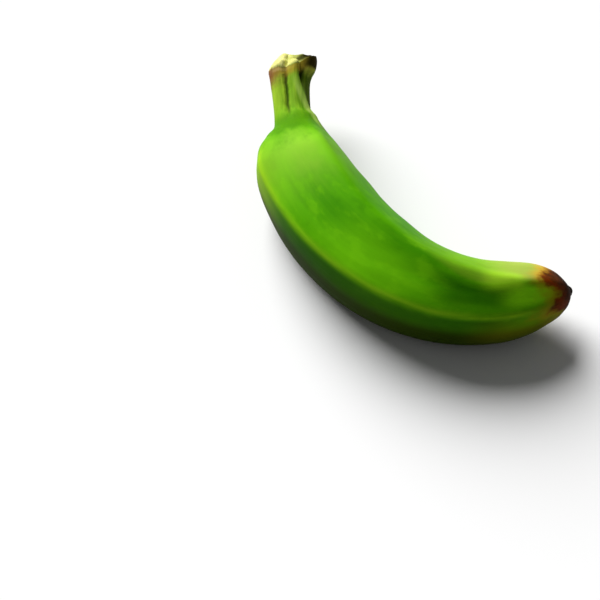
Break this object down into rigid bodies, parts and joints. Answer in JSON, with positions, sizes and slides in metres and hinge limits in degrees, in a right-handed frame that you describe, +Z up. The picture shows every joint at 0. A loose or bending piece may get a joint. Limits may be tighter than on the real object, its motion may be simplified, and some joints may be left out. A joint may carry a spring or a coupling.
{
  "type": "plantain",
  "caption": "Whole green cooking plantain lying on its side, with ridged peel, a torn pale crown on the stem and a brown blossom tip with a dark nib.",
  "frame": {"origin": "on the surface the fruit lies on, under the middle of its bounding box", "axes": "+X from the stem end to the blossom end, +Z up; the outer curve faces -Y and the hollow of the curve faces +Y"},
  "size_m": [0.1844, 0.0814, 0.0474],
  "materials": {
    "peel": "waxy green peel, satin, paler at the stem and crown, brown at the tip"
  },
  "bodies": {
    "root": {"plantain": "peel"}
  },
  "joints": []
}
